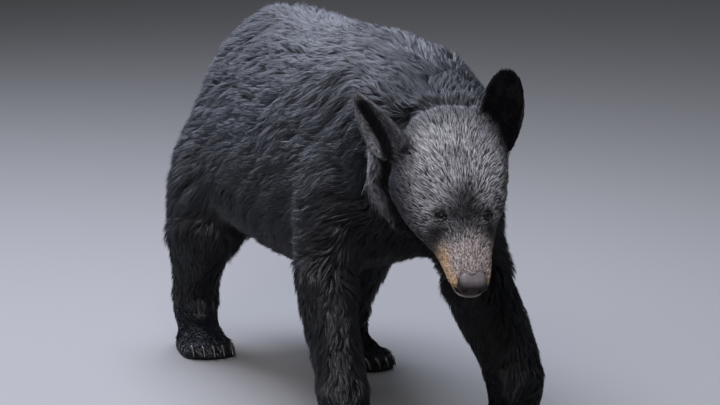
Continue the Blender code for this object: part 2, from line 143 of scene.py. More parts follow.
def smooth(low, high, value):
    share = np.clip((value - low) / (high - low), 0, 1)
    return share * share * (3 - 2 * share)


def bell(off, wide, power=2):
    return np.exp(-(np.abs(off / wide) ** power))


def lengths(vectors):
    return np.linalg.norm(vectors, axis=1)


def unit(vectors):
    return vectors / np.maximum(np.linalg.norm(vectors, axis=-1, keepdims=True), 1e-9)


def relaxed(values, edges, rounds, pull):
    # each value moves towards the mean of its neighbours on the mesh
    count = np.bincount(edges.ravel(), minlength=len(values))[:, None]
    a, b = edges.T
    for _ in range(rounds):
        total = [
            np.bincount(a, column[b], len(values)) + np.bincount(b, column[a], len(values))
            for column in values.T
        ]
        values = values + pull * (np.stack(total, 1) / np.maximum(count, 1) - values)
    return values


def nearestOf(places, asked):
    # for each point asked about, which of the places is nearest and how far off it is
    tree = KDTree(len(places))
    for index, spot in enumerate(places.tolist()):
        tree.insert(spot, index)
    tree.balance()
    found = [tree.find(spot) for spot in asked.tolist()]
    return np.array([hit[1] for hit in found]), np.array([hit[2] for hit in found])


def newPiece(name, mesh):
    piece = bpy.data.objects.new(name, mesh)
    bpy.context.scene.collection.objects.link(piece)
    return piece


def meshFrom(name, points, faces):
    # faces is a list of arrays, each with its own number of corners
    mesh = bpy.data.meshes.new(name)
    mesh.vertices.add(len(points))
    mesh.vertices.foreach_set("co", points.astype(np.float32).ravel())
    loops = np.concatenate([block.ravel() for block in faces]).astype(np.int32)
    sizes = np.concatenate([np.full(len(block), block.shape[1]) for block in faces])
    mesh.loops.add(len(loops))
    mesh.loops.foreach_set("vertex_index", loops)
    mesh.polygons.add(len(sizes))
    starts = np.concatenate([[0], np.cumsum(sizes)[:-1]]).astype(np.int32)
    mesh.polygons.foreach_set("loop_start", starts)
    mesh.update(calc_edges=True)
    mesh.shade_smooth()
    return mesh


def baked(piece, name):
    # the piece as its modifiers leave it, as a plain mesh
    graph = bpy.context.evaluated_depsgraph_get()
    mesh = bpy.data.meshes.new_from_object(piece.evaluated_get(graph))
    mesh.name = name
    bpy.data.objects.remove(piece)
    return mesh


# each region's coat in metres: its depth, its tufts' length, width and spacing, and a lock's width
coatKinds = ("depth", "length", "width", "spacing", "lock")
coatSet = {
    "muzzle": (0.0018, 0.0075, 0.0008, 0.00125, 0.0036),
    "lower_jaw": (0.0030, 0.011, 0.0009, 0.0018, 0.006),
    "head": (0.0080, 0.020, 0.00072, 0.00132, 0.0035),
    "ear": (0.0016, 0.010, 0.0009, 0.0015, 0.005),
    "neck": (0.019, 0.042, 0.0014, 0.0023, 0.0075),
    "chest": (0.021, 0.048, 0.0015, 0.0024, 0.0080),
    "loin": (0.022, 0.052, 0.0015, 0.0023, 0.0085),
    "rump": (0.023, 0.052, 0.0015, 0.0024, 0.0085),
    "tail": (0.012, 0.042, 0.0017, 0.0025, 0.0080),
    "foreleg": (0.011, 0.032, 0.0012, 0.0021, 0.0070),
    "hindleg": (0.011, 0.032, 0.0012, 0.0022, 0.0070),
    "forepaw": (0.005, 0.016, 0.0012, 0.0021, 0.005),
    "hindfoot": (0.005, 0.016, 0.0012, 0.0023, 0.005),
}
pairedRegions = ("ear", "foreleg", "hindleg", "forepaw", "hindfoot")


def bothSides(*regions):
    return tuple(region + side for region in regions for side in ("_left", "_right"))


def regionOf(node):
    return node.removesuffix("_left").removesuffix("_right")


fleshNodes = []
for region in coatSet:
    fleshNodes += bothSides(region) if region in pairedRegions else (region,)

# which way the hair lies away from the head, in the bear's space
lieSet = {
    "neck": (0.0, 1.0, -0.40), "chest": (0.0, 1.0, -0.55), "loin": (0.0, 1.0, -0.50),
    "rump": (0.0, 0.90, -0.65), "tail": (0.0, 0.25, -1.0), "foreleg": (0.0, 0.22, -1.0),
    "hindleg": (0.0, 0.18, -1.0), "hindfoot": (0.0, -1.0, -0.6),
    "forepaw_left": (-0.55, -0.8, -0.65), "forepaw_right": (0.0, -1.0, -0.65),
}
# each ear in head space: where it is rooted, the way it grows, the way its hollow faces, its half width
earSet = {
    "ear_right": ((0.116, 0.068, 0.030), (0.52, -0.66, 0.52), (0.85, 0.25, 0.46), 0.044),
    "ear_left": ((-0.082, 0.062, 0.040), (-0.07, -0.75, 0.66), (0.10, 0.45, 0.88), 0.040),
}


def nodeArrays(names, grow):
    # the named nodes as one list of points and triangles, each node grown outwards by its own amount
    points, faces, owner = [], [], []
    start = 0
    for index, name in enumerate(names):
        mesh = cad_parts[name].data
        spots = pointsOf(mesh)
        near, back = np.unique(np.round(spots, 6), axis=0, return_inverse=True)
        mesh.calc_loop_triangles()
        tris = back.reshape(-1)[readArray(mesh.loop_triangles, "vertices", 3, np.int32)]
        a, b, c = near[tris.T]
        facing = np.cross(b - a, c - a)
        normal = np.zeros_like(near)
        for corner in range(3):
            np.add.at(normal, tris[:, corner], facing)
        points.append(near + unit(normal) * grow.get(name, 0))
        faces.append(tris + start)
        owner.append(np.full(len(tris), index))
        start += len(near)
    return np.concatenate(points), np.concatenate(faces), np.concatenate(owner)


def regionWeights(points, edges, rounds):
    # how far each point belongs to each region, smooth across the borders
    cadPoints, cadFaces, owner = nodeArrays(fleshNodes, {})
    tree = BVHTree.FromPolygons(cadPoints.tolist(), cadFaces.tolist())
    nearest = [tree.find_nearest(spot)[2] for spot in points.tolist()]
    weights = np.zeros((len(points), len(fleshNodes)))
    weights[np.arange(len(points)), owner[nearest]] = 1
    return relaxed(weights, edges, rounds, 0.7)


def blended(weights, what):
    return weights @ np.array([coatSet[regionOf(name)][coatKinds.index(what)] for name in fleshNodes])


def shareOf(weights, *names):
    return weights[:, [fleshNodes.index(name) for name in names]].sum(1)


def faceThinning(points):
    # on the head the coat is short round the eyes and on the bridge, and long on the cheeks
    spot = toHead(points)
    away = np.min([lengths(points - np.array(eyeCentres[name])) for name in eyeNames], 0)
    bridge = smooth(0.15, 0.21, spot[:, 1]) * smooth(0.075, 0.045, np.abs(spot[:, 0]))
    return 1 - np.maximum(0.75 * smooth(0.045, 0.012, away), 0.55 * bridge)


ruffSet = {
    # the fold of loose skin from under each ear down to the throat, in head space
    "path": ((0.136, 0.022, -0.010), (0.127, 0.028, -0.060), (0.120, 0.040, -0.110), (0.113, 0.057, -0.143),
             (0.100, 0.072, -0.180), (0.079, 0.087, -0.212), (0.050, 0.096, -0.255), (0.010, 0.104, -0.290)),
    "wide": 0.024, "narrow": 0.010, "proud": 0.92,  # its coat is thinner, so it stands out
    "lie": (-0.15, 0.25, -1.0),  # its short hair lies down along it
    "less": {"length": 0.65, "lock": 0.45, "spacing": 0.25, "width": 0.30},  # how much finer that hair is
    # how far off, how wide and how deep: ahead of it up to the cheek, and behind it against the shoulder
    "hollow": (0.050, 0.024, 0.030), "crease": (0.027, 0.011, 0.010),
}


def ruff(points, weights):
    # how far each point lies on the fold, in the hollow ahead of it, and in the crease behind it
    spot = toHead(points)
    spot[:, 0] = np.abs(spot[:, 0])
    path = np.array(ruffSet["path"])
    far, gap, wide = np.full(len(spot), 9.0), np.zeros_like(spot), np.zeros(len(spot))
    for number, (start, end) in enumerate(zip(path, path[1:])):
        way = end - start
        share = np.clip((spot - start) @ way / (way @ way), 0, 1)
        off = spot - start - share[:, None] * way
        length = lengths(off)
        nearer = length < far
        far[nearer], gap[nearer] = length[nearer], off[nearer]
        wide[nearer] = (number + share[nearer]) / (len(path) - 1)
    ahead = gap @ np.array((-0.30, 0.45, 0.84)) / np.maximum(far, 1e-6)
    neck = shareOf(weights, "neck") + 0.8 * shareOf(weights, "chest")
    neck = neck + 0.4 * shareOf(weights, "head", "lower_jaw")
    wide = ruffSet["wide"] * (1 - wide) + ruffSet["narrow"] * wide
    hollow, crease = (
        bell(far - ruffSet[name][0], ruffSet[name][1]) * smooth(*start, ahead) * neck
        for name, start in (("hollow", (0.1, 0.6)), ("crease", (-0.1, -0.5)))
    )
    return bell(far, wide, 4) * neck, hollow, crease


def coatDepth(points, weights):
    depth = blended(weights, "depth")
    depth -= shareOf(weights, "head") * coatSet["head"][0] * (1 - faceThinning(points))
    return depth * (1 - ruffSet["proud"] * ruff(points, weights)[0])


# the nose pad, which the skin makes room for
noseSet = {
    "half": (0.0270, 0.0135), "below": 0.0160, "above": 0.0210,  # across, fore and aft, down, up
    "seat": (0.0, -0.0030, 0.0010),  # from the middle of the nose solid
    "roofBack": 0.021,  # how far its roof runs back over the bridge
    "nostril": (0.0125, 0.0010), "nostrilSize": (0.0058, 0.0042), "nostrilDeep": 0.0080,
    "slit": (0.35, 0.0017),  # how a nostril's slit slants outwards, and its height
    "groove": (0.0013, 0.0018),  # half its width, and its depth
    "under": (0.0050, 0.0140),  # how much deeper the skin lies round the pad, and behind it
}


def padReach(points):
    # 1 on the nose pad's surface and less within it, then the same seen from in front
    x, y, z = (toHead(points) - headSet["nose"] - noseSet["seat"]).T
    rise = z / np.where(z > 0, noseSet["above"], noseSet["below"])
    y = y + noseSet["roofBack"] * np.clip(rise, 0, 1.3) ** 1.5
    across, deep = noseSet["half"]
    flat = (np.abs(x / across) ** 3 + np.abs(rise) ** 3) ** (1 / 3)
    return np.hypot(flat, y / deep), np.where(y > -0.004, flat, 9)


# the skin is one closed surface under the coat
skinSet = {
    "voxel": 0.0032,
    "overlap": 0.0006,  # the solids stand 0.4 mm apart, so each grows by this before they join
    "earGrow": 0.0030,  # the thin ears grow more, or the join would lose their tips
    "body": (60, 0.8), "face": (12, 0.6, 0.25),  # rounds and pull of smoothing, the last for the ears
    "soles": (0.004, 0.030),  # the coat's depth starts above the one height and is whole above the other
    "triangles": 130000,
}


def makeSkin():
    names = fleshNodes + ["eye_left", "eye_right", "nose"]
    grow = {name: skinSet["earGrow" if name.startswith("ear") else "overlap"] for name in names}
    points, faces, _ = nodeArrays(names, grow)
    form = newPiece("form", meshFrom("form", points, [faces]))
    remesh = form.modifiers.new("join", "REMESH")
    remesh.mode = "VOXEL"
    remesh.voxel_size = skinSet["voxel"]
    mesh = baked(form, "skinForm")
    edges = edgesOf(mesh)
    points = pointsOf(mesh)
    weights = regionWeights(points, edges, 12)
    ears = shareOf(weights, *bothSides("ear"))[:, None]
    face = shareOf(weights, "head", "muzzle", "lower_jaw")[:, None]
    feet = shareOf(weights, *bothSides("forepaw", "hindfoot"))[:, None]
    rounds, pull = skinSet["body"]
    points = relaxed(points, edges, rounds, pull * np.clip(1 - ears - face - feet, 0, 1))
    rounds, pull, earPull = skinSet["face"]
    points = relaxed(points, edges, rounds, pull * np.clip(face + feet, 0, 1) + earPull * ears)
    _, hollow, crease = ruff(points, weights)
    depth = coatDepth(points, weights) + ruffSet["hollow"][2] * hollow + ruffSet["crease"][2] * crease
    reach, outline = padReach(points)
    around, behind = noseSet["under"]
    depth = depth + around * smooth(1.30, 0.90, reach) + behind * smooth(1.0, 0.8, outline)
    depth = relaxed(depth[:, None], edges, 8, 0.8)
    depth = depth * smooth(*skinSet["soles"], points[:, 2:3])
    for _ in range(4):
        setPoints(mesh, points)
        points = points - normalsOf(mesh) * depth / 4
        points = relaxed(points, edges, 1, 0.5 * (1 - ears))
    points[:, 2] = np.maximum(points[:, 2], 0)
    setPoints(mesh, points)
    skin = newPiece("fullSkin", mesh)
    thin = skin.modifiers.new("thin", "DECIMATE")
    mesh.calc_loop_triangles()
    thin.ratio = skinSet["triangles"] / len(mesh.loop_triangles)
    thin.use_collapse_triangulate = True
    skin = newPiece("bearSkin", baked(skin, "bearSkin"))
    skin.data.shade_smooth()
    return skin


# lids and lips are built crisp and joined to the skin
lidSet = {
    "way": (0.60, 0.44, 0.68),  # out of the head, as x y z in head space
    "length": 0.0086, "height": 0.0050,  # half the opening
    "corner": (1.12, 0.95), "arch": (1.2, 0.85),  # inner and outer corner, upper and lower lid, against that
    "bare": 0.0074,  # no hair grows nearer than this to its middle
    # each ring: size of the opening, how far it has turned into a circle, how far it stands off the eyeball
    "rings": ((0.97, 0.0, -0.0010), (1.0, 0.0, 0.0011), (1.10, 0.05, 0.0020), (1.25, 0.3, 0.0022),
              (1.25, 0.65, 0.0014), (1.25, 1.0, -0.0025)),
    "circle": 1.12,  # the outer ring, as an angle from the middle of the eyeball
    "turns": 44,
}


def ringFaces(count, turns):
    # the quads between rings of points, each ring closed on itself
    rows = np.arange(count - 1)[:, None] * turns
    turn = np.arange(turns)
    after = (turn + 1) % turns
    return np.stack([rows + turn, rows + after, rows + turns + after, rows + turns + turn], 2).reshape(-1, 4)


def makeLid(name):
    place = eyeFrame(name, lidSet["way"])
    rings = []
    for size, mix, proud in lidSet["rings"]:
        for turn in range(lidSet["turns"]):
            angle = 2 * math.pi * turn / lidSet["turns"]
            upper = math.sin(angle) * -eyeSide(name) > 0
            # the upper lid arches more than the lower, and the inner corner is drawn out to a point
            x = math.cos(angle) * lidSet["length"] * size * lidSet["corner"][math.cos(angle) <= 0]
            y = math.sin(angle) * abs(math.sin(angle)) ** 0.25 * lidSet["height"] * size
            y *= lidSet["arch"][not upper]
            reach = math.hypot(x, y) / eyeRadius * (1 - mix) + lidSet["circle"] * mix
            across = math.atan2(y, x) * (1 - mix) + math.atan2(math.sin(angle), math.cos(angle)) * mix
            flat = math.sin(reach)
            ray = Vector((flat * math.cos(across), flat * math.sin(across), math.cos(reach)))
            rings.append(place @ (ray * (eyeRadius + proud)))
    return np.array(rings), ringFaces(len(lidSet["rings"]), lidSet["turns"])[:, ::-1]


lipSet = {
    "path": ((0.0, 0.340, -0.017), (0.012, 0.337, -0.018), (0.024, 0.327, -0.020), (0.031, 0.310, -0.022),
             (0.036, 0.290, -0.023), (0.043, 0.262, -0.023), (0.052, 0.238, -0.023), (0.059, 0.222, -0.026)),
    "thick": 0.0011, "pout": 0.0018, "points": 42,  # it stands out further under the nose
    "thin": (0.20, 0.245, 0.300),  # least share of that, and where along the head it grows to the whole
    "bare": (0.0012, 0.0030),  # how far off hair starts at the corners of the mouth and in front
}


def eased(line, rounds):
    for _ in range(rounds):
        line[1:-1] = (line[:-2] + 2 * line[1:-1] + line[2:]) / 4
    return line


def makeLips(tree):
    # a soft bead of bare lip along the closed mouth, set half into the skin on both sides
    path = np.array(lipSet["path"])
    share = np.linspace(0, len(path) - 1, lipSet["points"])
    curve = eased(np.stack([np.interp(share, np.arange(len(path)), column) for column in path.T], 1), 3)
    both = np.concatenate([(curve * (-1, 1, 1))[:0:-1], curve])
    # each point is found on the skin by a ray from outside the muzzle to its middle
    middle = both * (0, 1, 0) - (0, 0, 0.012)
    middle[:, 1] = np.minimum(middle[:, 1], 0.29)
    outside = middle + (both - middle) * 1.8
    for line in (middle, outside):
        line[:, 0] += drift(line[:, 1])
    spots = []
    for start, aim in zip(fromHead(outside), fromHead(middle)):
        way = Vector(aim - start).normalized()
        hit = tree.ray_cast(Vector(start), way)
        if hit[0] is not None:
            spots.append(np.array(hit[0] - way * 0.0003))
    spots = eased(np.array(spots), 4)
    along = unit(np.gradient(spots, axis=0))
    out = unit(spots - fromHead(np.array((0, 0.24, -0.014))))
    side = unit(np.cross(along, out))
    least, back, front = lipSet["thin"]
    taper = np.sin(np.linspace(0.12, math.pi - 0.12, len(spots)))[:, None] ** 0.4
    taper = taper * (least + (1 - least) * smooth(back, front, toHead(spots)[:, 1:2]))
    pout = lipSet["pout"] * smooth(0.285, 0.325, toHead(spots)[:, 1:2])
    rings, turns = [], 8
    for turn in range(turns):
        angle = 2 * math.pi * turn / turns
        up, ahead = math.cos(angle) * 1.25 * lipSet["thick"], lipSet["thick"] + pout
        rings.append(spots + side * up * taper + out * (math.sin(angle) * ahead + pout * 0.6) * taper)
    return np.stack(rings, 1).reshape(-1, 3), ringFaces(len(spots), turns)


def addToSkin(parts):
    # joins small parts to the skin, each with its own material slot
    builder = bmesh.new()
    builder.from_mesh(bearSkin.data)
    for points, faces, slot in parts:
        made = [builder.verts.new(spot) for spot in points.tolist()]
        new = [builder.faces.new([made[corner] for corner in face]) for face in faces.tolist()]
        for face in bmesh.ops.triangulate(builder, faces=new)["faces"]:
            face.material_index = slot
            face.smooth = True
    builder.to_mesh(bearSkin.data)
    builder.free()


bearSkin = makeSkin()
plainTris = readArray(bearSkin.data.polygons, "vertices", 3, np.int32)
lips = makeLips(BVHTree.FromPolygons(pointsOf(bearSkin.data).tolist(), plainTris.tolist()))
addToSkin([(*makeLid(name), 1) for name in eyeNames] + [(*lips, 2)])
print("skin:", len(bearSkin.data.polygons), "triangles")


bearSkin.data.uv_layers.new(name="OFBake")
bpy.context.view_layer.objects.active = bearSkin
bearSkin.select_set(True)
bpy.ops.object.mode_set(mode="EDIT")
bpy.ops.mesh.select_all(action="SELECT")
bpy.ops.uv.smart_project(angle_limit=math.radians(66), island_margin=0.002)
bpy.ops.object.mode_set(mode="OBJECT")
print("skin unwrapped")

# how the coat lies is worked out on the skin
skinPoints = pointsOf(bearSkin.data)
skinNormals = normalsOf(bearSkin.data)
skinEdges = edgesOf(bearSkin.data)
skinTris = readArray(bearSkin.data.polygons, "vertices", 3, np.int32)
skinMap = readArray(bearSkin.data.uv_layers["OFBake"].uv, "vector", 2).reshape(-1, 3, 2)
skinWeights = regionWeights(skinPoints, skinEdges, 10)
skinTree = BVHTree.FromPolygons(skinPoints.tolist(), skinTris.tolist())
headPoints = toHead(skinPoints)


def ripple(rounds):
    # smooth noise over the skin, about -1 to 1
    wave = relaxed(dice.normal(size=(len(skinPoints), 1)), skinEdges, rounds, 0.8)
    return wave / wave.std()


def turned(vectors, normals, angle):
    return vectors * np.cos(angle) + np.cross(normals, vectors) * np.sin(angle)


# slow and quick turns of the lie: rounds of smoothing, radians
straySet = {60: 0.18, 12: 0.10}


def coatLie():
    lie = np.zeros_like(skinPoints)
    for index, name in enumerate(fleshNodes):
        share = skinWeights[:, index:index + 1]
        if name in ("muzzle", "head", "lower_jaw"):
            # back from the nose over the bridge, then fanning out between the eyes over brow and cheeks
            off = headPoints - (0, 0.225, 0.050)
            off[:, 0] -= drift(headPoints[:, 1])
            fan = unit(off * (1.25, 0.85, 0.60))
            back = unit(off * (8.0, 0, 0) + (0, -1, 0))
            ahead = smooth(0.20, 0.25, headPoints[:, 1])[:, None]
            way = (fan * (1 - ahead) + back * ahead) @ headTurn.T
        elif name in earSet:
            way = unit(np.array(earSet[name][1])) @ headTurn.T
        else:
            way = unit(np.array(lieSet[name if name in lieSet else regionOf(name)]))
        lie += share * way
    fold = ruff(skinPoints, skinWeights)[0][:, None]
    lie = lie * (1 - fold) + fold * unit(np.array(ruffSet["lie"])) @ headTurn.T
    lie = relaxed(lie, skinEdges, 12, 0.7)
    lie -= skinNormals * (lie * skinNormals).sum(1, keepdims=True)
    lie = unit(lie)
    angle = sum(turn * ripple(rounds) for rounds, turn in straySet.items())
    calm = shareOf(skinWeights, "muzzle", "head", *bothSides("ear"))
    angle *= 1 - 0.6 * calm[:, None]
    return turned(lie, skinNormals, angle)


skinLie = coatLie()
skinBlend = {what: blended(skinWeights, what) for what in coatKinds}
skinBlend["depth"] = coatDepth(skinPoints, skinWeights)
skinBlend["length"] *= 1 - 0.65 * shareOf(skinWeights, "head") * (1 - faceThinning(skinPoints))
foldShare = ruff(skinPoints, skinWeights)[0]
for what, less in ruffSet["less"].items():
    skinBlend[what] *= 1 - less * foldShare
bare = (skinPoints[:, 2] < 0.004) & (skinNormals[:, 2] < -0.6)
for name in eyeNames:
    place = np.array(eyeFrame(name, lidSet["way"]).inverted())
    spot = skinPoints @ place[:3, :3].T + place[:3, 3]
    near = np.hypot(spot[:, 0] * 0.72, spot[:, 1]) < lidSet["bare"]
    bare |= near & (spot[:, 2] > -0.004) & (spot[:, 2] < 0.03)
bare |= np.minimum(*padReach(skinPoints)) < 1.08
least, most = lipSet["bare"]
bare |= nearestOf(lips[0], skinPoints)[1] < least + (most - least) * smooth(0.25, 0.30, headPoints[:, 1])
print("lie of the coat worked out")


def scattered(perSquare):
    # roots spread over the skin at a density given for each point, as (face, corner weights)
    a, b, c = skinPoints[skinTris.T]
    area = lengths(np.cross(b - a, c - a)) / 2
    total = np.cumsum(area * perSquare[skinTris].mean(1))
    count = int(total[-1])
    places = (np.arange(count) + dice.random(count)) / count * total[-1]
    faces = np.minimum(np.searchsorted(total, places), len(total) - 1)
    first, second = np.sort(dice.random((2, count)), axis=0)
    return faces, np.stack([first, second - first, 1 - second], 1)


def sampled(values, faces, corners):
    picked = values[skinTris[faces]]
    if picked.ndim == 2:
        return (picked * corners).sum(1)
    return (picked * corners[:, :, None]).sum(1)


waveSet = {
    "size": 5.0,  # a wave's width against a lock's
    "stretch": (1.0, 0.5, 0.75),  # waves run long from front to back
    "gather": 0.22,  # how far its locks lean together at their tips
    "hollow": 0.32,  # how much lower the coat lies between two waves
    "swing": (0.13, 0.06),  # turn of a whole wave, and of one lock, radians
    "length": (0.85, 1.12), "height": (0.80, 1.0),  # a lock's against its region's
}


def combGuides():
    # one guide hair for each lock, combed along the skin and lifted off it
    faces, corners = scattered(1 / skinBlend["lock"] ** 2)
    spots = sampled(skinPoints, faces, corners)
    normals = unit(sampled(skinNormals, faces, corners))
    count = len(spots)
    lock = sampled(skinBlend["lock"], faces, corners)
    crest, crestCorners = scattered(1 / (skinBlend["lock"] * waveSet["size"]) ** 2)
    crests = sampled(skinPoints, crest, crestCorners)
    stretch = np.array(waveSet["stretch"])
    wave = nearestOf(crests * stretch, spots * stretch)[0]
    off = spots - crests[wave]
    lies = skinLie[skinTris[faces]].mean(1)
    across = np.abs((off * unit(np.cross(lies, normals))).sum(1)) / (lock * waveSet["size"] * 0.5)
    dip = 1.05 - waveSet["hollow"] * np.clip(across, 0, 1.2) ** 1.5
    length = sampled(skinBlend["length"], faces, corners) * dice.uniform(*waveSet["length"], count)
    height = sampled(skinBlend["depth"], faces, corners) * dice.uniform(*waveSet["height"], count) * dip
    stride = np.sqrt(np.maximum(length**2 - height**2, 0)) / 4
    whole, single = waveSet["swing"]
    swing = (dice.normal(0, whole, len(crests))[wave] + dice.normal(0, single, count))[:, None]
    ground, path = spots.copy(), [spots]
    current = faces
    for step in range(1, 5):
        lie = skinLie[skinTris[current]].mean(1)
        lie = turned(unit(lie), skinNormals[skinTris[current]].mean(1), swing)
        found = [skinTree.find_nearest(spot) for spot in (ground + lie * stride[:, None]).tolist()]
        ground = np.array([hit[0] for hit in found])
        up = np.array([hit[1] for hit in found])
        current = np.array([hit[2] for hit in found])
        up = unit(skinNormals[skinTris[current]].mean(1) + up)
        share = step / 4
        lean = off - lies * (off * lies).sum(1, keepdims=True)
        lean = lean * np.minimum(1, 2 * lock / np.maximum(lengths(lean), 1e-6))[:, None]
        lift = height * (1 - (1 - share) ** 2)
        path.append(ground + up * lift[:, None] - lean * waveSet["gather"] * share)
    return spots, normals, np.stack(path, 1)


guideRoots, guideNormals, guidePaths = combGuides()
print("guides:", len(guideRoots))

# marks of the coat with painted light and shade, the same for skin and hair: tan, grizzle with painted rim
# light, dark marks with painted shade, and taupe with painted sheen, each 0 to 1
markSet = {
    # dark spots of the face: offset from the eye in head space, size, strength
    "dark": (((0.0, 0.001, 0.0), 0.0088, 1.0), ((-0.014, 0.005, 0.0), 0.0070, 0.95),
             ((-0.024, 0.006, 0.0), 0.0075, 0.85), ((0.006, 0.028, -0.012), 0.014, 0.85)),
    # black in the grizzle: half width between the eyes and below them, size about an ear's root, strength
    "midline": (0.018, 0.035), "earRoot": 0.052, "black": 0.88,
    "brow": ((0.010, 0.020), (0.117, 0.015), 0.45),  # a patch: place and size across and ahead, strength
    "muzzle": (0.222, 0.268),  # where along the head its colours begin, and where they are full
}


def earShadeAndRimLight(points, normals, weights):
    # 1 in the middle of an ear's cup, where it is painted in shade, 0 on its back and on its rims, which
    # instead get a painted highlight as pale hair
    cupShade, rimLight = np.zeros(len(normals)), np.zeros(len(normals))
    for name, (root, growth, opening, half) in earSet.items():
        along, face = unit(np.array(growth)), unit(np.array(opening))
        facing = normals @ (face @ headTurn.T)
        across = (toHead(points) - root) @ unit(np.cross(along, face)) / half
        up = (toHead(points) - root) @ along
        rim = smooth(0.20, 0.48, -across) + 0.55 * smooth(0.15, 0.45, across) + smooth(0.085, 0.105, up)
        rim = rim if name == "ear_right" else 0.5 * smooth(0.80, 0.95, np.abs(across))
        share = weights[:, fleshNodes.index(name)] * smooth(0.15, 0.55, facing)
        cupShade += share * (1 - np.clip(rim, 0, 1))
        rimLight += share * np.clip(rim, 0, 1)
    return cupShade, rimLight


def marksAndPaintedLight(points, normals, weights):
    spot = toHead(points)
    x, y, z = spot.T
    x = x - drift(y)
    onHead = shareOf(weights, "head", "muzzle", "lower_jaw")
    ears, neck = shareOf(weights, *bothSides("ear")), shareOf(weights, "neck")
    muzzle = smooth(*markSet["muzzle"], y - 0.25 * np.abs(x)) * onHead
    # the top of the muzzle takes taupe instead of tan: partly its own grey-brown, partly a painted sky sheen
    # on the lit top
    taupeTopAndSheen = smooth(0.006, 0.022, z) * smooth(0.044, 0.030, np.abs(x))
    dark = np.zeros(len(points))
    for name in eyeNames:
        side = eyeSide(name)
        off = spot - toHead(np.array(eyeCentres[name]))
        for (across, ahead, up), size, amount in markSet["dark"]:
            away = lengths((off - (across * side, ahead, up)) * (0.75, 1, 0.35))
            dark = np.maximum(dark, amount * bell(away, size))
    narrow, wide = markSet["midline"]
    black = bell(x, narrow + (wide - narrow) * smooth(0.170, 0.210, y)) * smooth(0.148, 0.182, y)
    black = markSet["black"] * black * smooth(0.264, 0.228, y)
    (browX, sizeX), (browY, sizeY), strength = markSet["brow"]
    black += strength * bell(x - browX, sizeX) * bell(y - browY, sizeY)
    for root, _, _, _ in earSet.values():
        black = np.maximum(black, markSet["black"] * bell(lengths(spot - root), markSet["earRoot"]))
    grizzleAndRimLight = (0.20 + 0.80 * smooth(-0.02, 0.055, z)) * (1 - 0.80 * smooth(0.048, 0.100, np.abs(x)))
    grizzleAndRimLight = grizzleAndRimLight * smooth(-0.01, 0.100, y) * (1 - black) * (1 - dark) * (onHead + 0.5 * neck)
    # painted shade: darker low on the body, most where it faces down
    under = smooth(0.62, 0.36, points[:, 2]) * smooth(0.5, -0.4, normals[:, 2]) * (1 - onHead)
    # on the ruff: a painted highlight along its fold, painted shade in the hollow ahead of it and in the
    # crease behind it
    fold, hollow, crease = ruff(points, weights)
    cupShade, rimLight = earShadeAndRimLight(points, normals, weights)
    # painted shade over the neck, strongest on its upper side, where light would catch it
    napeShade = neck * (0.15 + 0.55 * smooth(-0.1, 0.5, normals[:, 2]))
    pad = smooth(1.04, 0.94, np.minimum(*padReach(points)) - 0.24 * (z < -0.004))
    # painted shade, with the dark marks of the face and round the nose pad: near black over the ears' cups,
    # the under side, the ruff's hollow and crease and the nape
    darkAndShade = dark * onHead + cupShade + 0.85 * under + (hollow + 0.4 * crease + napeShade) * (1 - fold) + pad
    # painted highlight: pale hair along the ears' rims and the ruff's fold, where light catches them, over
    # some grizzle on the ears' backs
    grizzleAndRimLight = grizzleAndRimLight + 0.45 * (ears - cupShade - rimLight) + 0.75 * rimLight + fold
    return np.stack([muzzle * (1 - taupeTopAndSheen), np.clip(grizzleAndRimLight, 0, 1), np.clip(darkAndShade, 0, 1), muzzle * taupeTopAndSheen], 1)


def addPointValues(mesh, name, kind, values):
    layer = mesh.attributes.new(name, kind, "POINT")
    key = "color" if kind == "FLOAT_COLOR" else "value"
    layer.data.foreach_set(key, values.astype(np.float32).ravel())


skinMarksAndLight = marksAndPaintedLight(skinPoints, skinNormals, skinWeights)
addPointValues(bearSkin.data, "marksAndLight", "FLOAT_COLOR", skinMarksAndLight)

# the coat is tapered tufts, each gathered into the lock of its nearest guide
tuftSet = {
    # its points: how far up it, and how far to the side of its middle against its width
    "points": ((0, -0.5), (0, 0.5), (0.5, -0.425), (0.5, 0.425), (1, 0)),
    "grip": (0.0, 0.45),  # how tightly a tuft joins its lock at the tip
    "shorter": (0.70, 1.0),  # a tuft's length against its guide's
    "wider": (0.7, 1.3),  # its width against its region's
    "frizz": 0.04,  # stray bend of the tip, against its length
    "roll": 0.22,  # random turn about its own length, radians
    "round": 0.55,  # how far the sides of a lock turn away, radians
    "sunk": 0.001,  # how far its root is set into the skin
    "patch": 0.003,  # its share of the map, across and along
}
coatPieces = {
    "coatMuzzle": ("muzzle", "lower_jaw"), "coatHead": ("head",), "coatEars": bothSides("ear"),
    "coatNeck": ("neck",), "coatShoulderRight": ("chest",), "coatShoulderLeft": ("chest",),
    "coatLoin": ("loin",), "coatRumpRight": ("rump", "tail"), "coatRumpLeft": ("rump", "tail"),
    "coatForelegs": bothSides("foreleg"), "coatHindlegs": bothSides("hindleg"),
    "coatFeet": bothSides("forepaw", "hindfoot"),
}


def mingled(roots, region):
    # hair of the neck and of the shoulders runs into each other over a hand's breadth, so no line shows
    neck, chest = fleshNodes.index("neck"), fleshNodes.index("chest")
    mixed = region.copy()
    for own, other in ((neck, chest), (chest, neck)):
        mine = np.flatnonzero(region == own)
        away = nearestOf(roots[region == other], roots[mine])[1]
        swap = dice.random(len(mine)) < 0.5 * (1 - smooth(0, 0.10, away))
        mixed[mine[swap]] = other
    return mixed


